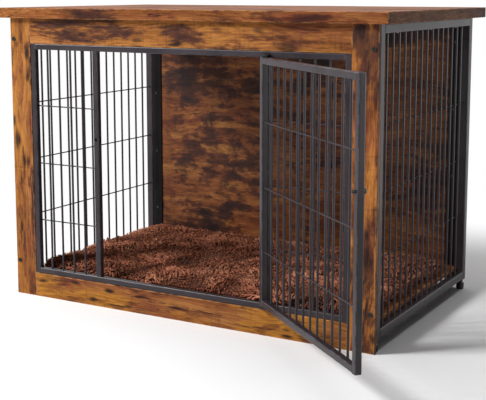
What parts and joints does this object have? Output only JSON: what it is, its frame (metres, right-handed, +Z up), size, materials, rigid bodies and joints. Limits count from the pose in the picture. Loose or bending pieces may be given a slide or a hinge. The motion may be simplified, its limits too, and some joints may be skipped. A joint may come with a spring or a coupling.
{
  "type": "pet crate",
  "caption": "Furniture-style pet crate: wood-print top and front frame on black steel tube, rod grilles on front and sides, pivot-hung door with plunger latch, plush mat.",
  "frame": {"origin": "on the floor, in the middle of the underside of the front bottom rail", "axes": "+X to the right along the front as seen facing the door, +Y from the front to the back, +Z up"},
  "size_m": [1.0764, 0.9129, 0.7],
  "materials": {
    "wood_print_board": "rustic brown wood print, satin",
    "bare_wood": "bare beech",
    "powder_coated_steel": "black powder coat, satin",
    "black_plastic": "black, matt",
    "zinc_screws": "zinc plated",
    "plush": "shaggy brown pile"
  },
  "bodies": {
    "crate": {"tabletop": "wood_print_board", "front_left_stile": "wood_print_board", "front_right_stile": "wood_print_board", "front_top_rail": "wood_print_board", "front_bottom_rail": "wood_print_board", "back_panel": "wood_print_board", "floor_board": "wood_print_board", "rail_dowels": "bare_wood", "left_front_post": "powder_coated_steel", "left_rear_post": "powder_coated_steel", "left_top_rail": "powder_coated_steel", "left_bottom_rail": "powder_coated_steel", "left_side_grille": "powder_coated_steel", "right_front_post": "powder_coated_steel", "right_rear_post": "powder_coated_steel", "right_top_rail": "powder_coated_steel", "right_bottom_rail": "powder_coated_steel", "right_side_grille": "powder_coated_steel", "grille_left_post": "powder_coated_steel", "grille_right_post": "powder_coated_steel", "grille_top_tube": "powder_coated_steel", "grille_bottom_tube": "powder_coated_steel", "left_mullion": "powder_coated_steel", "right_mullion": "powder_coated_steel", "front_left_grille": "powder_coated_steel", "front_right_grille": "powder_coated_steel", "front_crossbar": "powder_coated_steel", "middle_crossbar": "powder_coated_steel", "rear_crossbar": "powder_coated_steel", "back_left_flange": "powder_coated_steel", "back_right_flange": "powder_coated_steel", "pivot_brackets": "powder_coated_steel", "pivot_pins": "powder_coated_steel", "stile_bolts": "powder_coated_steel", "foot_plugs": "black_plastic", "pivot_washers": "black_plastic", "tabletop_screws": "zinc_screws", "back_screws": "zinc_screws", "grille_screws": "zinc_screws", "plush_mat": "plush"},
    "door": {"door_hinge_stile": "powder_coated_steel", "door_free_stile": "powder_coated_steel", "door_top_rail": "powder_coated_steel", "door_bottom_rail": "powder_coated_steel", "door_grille": "powder_coated_steel", "door_end_caps": "black_plastic", "door_pivot_bushes": "black_plastic"},
    "latch": {"latch_plunger": "powder_coated_steel"},
    "front_left_foot_body": {"front_left_foot": "black_plastic"},
    "front_right_foot_body": {"front_right_foot": "black_plastic"},
    "rear_left_foot_body": {"rear_left_foot": "black_plastic"},
    "rear_right_foot_body": {"rear_right_foot": "black_plastic"}
  },
  "joints": [
    {"name": "door_hinge", "type": "hinge", "parent": "crate", "child": "door", "pos_m": [0.221, -0.0145, 0.3365], "axis": [0, 0, 1], "range_deg": [-140.2, 34.8]},
    {"name": "latch_slide", "type": "slide", "parent": "door", "child": "latch", "axis": [0.6401, 0.7683, 0], "range_m": [0, 0.009]},
    {"name": "front_left_foot_turn", "type": "hinge", "parent": "crate", "child": "front_left_foot_body", "pos_m": [-0.465, 0.016, 0.013], "axis": [0, 0, 1], "continuous": true},
    {"name": "front_right_foot_turn", "type": "hinge", "parent": "crate", "child": "front_right_foot_body", "pos_m": [0.465, 0.016, 0.013], "axis": [0, 0, 1], "continuous": true},
    {"name": "rear_left_foot_turn", "type": "hinge", "parent": "crate", "child": "rear_left_foot_body", "pos_m": [-0.465, 0.569, 0.013], "axis": [0, 0, 1], "continuous": true},
    {"name": "rear_right_foot_turn", "type": "hinge", "parent": "crate", "child": "rear_right_foot_body", "pos_m": [0.465, 0.569, 0.013], "axis": [0, 0, 1], "continuous": true}
  ]
}
